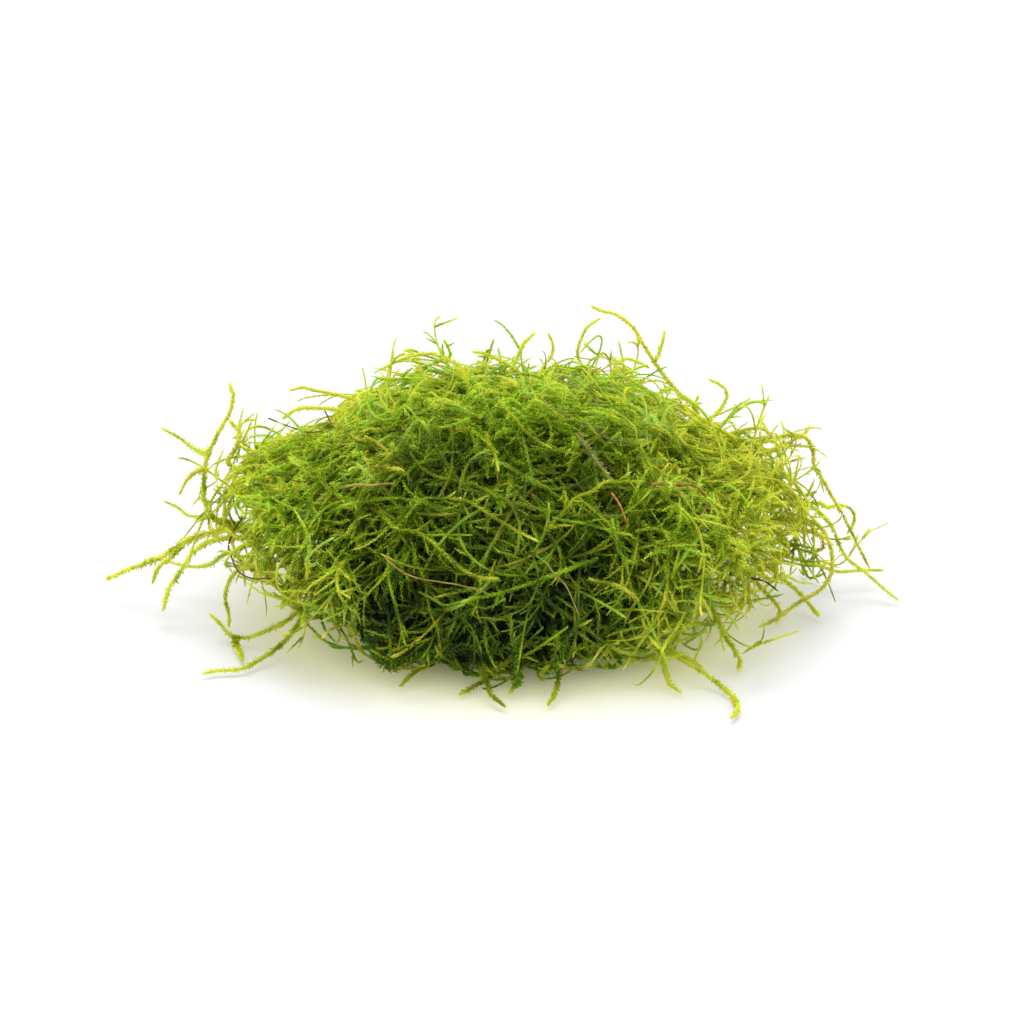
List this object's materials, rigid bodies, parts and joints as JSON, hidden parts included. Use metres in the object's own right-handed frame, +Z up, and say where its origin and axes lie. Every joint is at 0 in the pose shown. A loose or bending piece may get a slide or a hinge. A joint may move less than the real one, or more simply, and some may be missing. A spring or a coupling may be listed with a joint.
{
  "type": "moss clump",
  "caption": "Low irregular clump of tangled yellow-green leafy moss shoots, with loose trailing ends and bare brown stems, resting on its flat underside.",
  "frame": {"origin": "middle of the flat underside of the mat, on the surface that the clump lies on", "axes": "+X along the clump's long direction, to the right seen from the front; +Y to the back; +Z up, away from the underside"},
  "size_m": [0.1203, 0.0838, 0.0412],
  "materials": {
    "moss_mat": "damp leafy moss, yellow-green at the edges and deep green in the hollows, brownish below",
    "leafy_shoots": "damp leafy shoots, bright yellow-green, slightly translucent",
    "bare_stems": "dead bare stems, orange-brown to grey, slightly glossy"
  },
  "bodies": {
    "root": {"tangled_mat": "moss_mat", "left_trailing_shoot": "leafy_shoots", "left_low_shoot": "leafy_shoots", "left_hanging_shoot": "leafy_shoots", "left_upright_shoot": "leafy_shoots", "left_forked_shoot": "leafy_shoots", "left_twig_shoot": "leafy_shoots", "upper_left_sweeping_shoot": "leafy_shoots", "upper_left_low_shoot": "leafy_shoots", "front_left_floor_shoot": "leafy_shoots", "front_left_arching_shoot": "leafy_shoots", "front_left_dropping_shoot": "leafy_shoots", "front_left_tip": "leafy_shoots", "front_short_tip": "leafy_shoots", "front_kinked_shoot": "leafy_shoots", "front_thin_shoot": "leafy_shoots", "front_centre_shoot": "leafy_shoots", "front_right_long_shoot": "leafy_shoots", "front_right_hanging_shoot": "leafy_shoots", "right_claw_shoot": "leafy_shoots", "right_looping_shoot": "leafy_shoots", "right_outer_shoot": "leafy_shoots", "right_flat_shoot": "leafy_shoots", "right_low_shoot": "leafy_shoots", "right_rising_shoot": "leafy_shoots", "right_curling_shoot": "leafy_shoots", "right_forked_shoot": "leafy_shoots", "top_tall_shoot": "leafy_shoots", "top_bowed_shoot": "leafy_shoots", "top_arching_shoot": "leafy_shoots", "top_hooked_shoot": "leafy_shoots", "top_thick_shoot": "leafy_shoots", "top_short_shoot": "leafy_shoots", "top_sweeping_shoot": "leafy_shoots", "top_left_arc_shoot": "leafy_shoots", "top_left_bowed_shoot": "leafy_shoots", "back_left_shoot": "leafy_shoots", "back_high_shoot": "leafy_shoots", "back_floor_shoot": "leafy_shoots", "back_short_shoot": "leafy_shoots", "back_arching_shoot": "leafy_shoots", "back_low_shoot": "leafy_shoots", "back_right_shoot": "leafy_shoots", "left_trailing_branch": "leafy_shoots", "left_upright_high_branch": "leafy_shoots", "left_upright_low_branch": "leafy_shoots", "front_left_arching_branch": "leafy_shoots", "front_right_upper_branch": "leafy_shoots", "front_right_thin_branch": "leafy_shoots", "top_tall_branch": "leafy_shoots", "bare_stem_orange": "bare_stems", "bare_stem_red": "bare_stems", "bare_stem_grey": "bare_stems", "bare_stem_purple": "bare_stems", "bare_stem_pink": "bare_stems", "bare_stem_stub": "bare_stems", "bare_stem_dark": "bare_stems", "bare_stem_split": "bare_stems", "bare_stem_back": "bare_stems"}
  },
  "joints": []
}
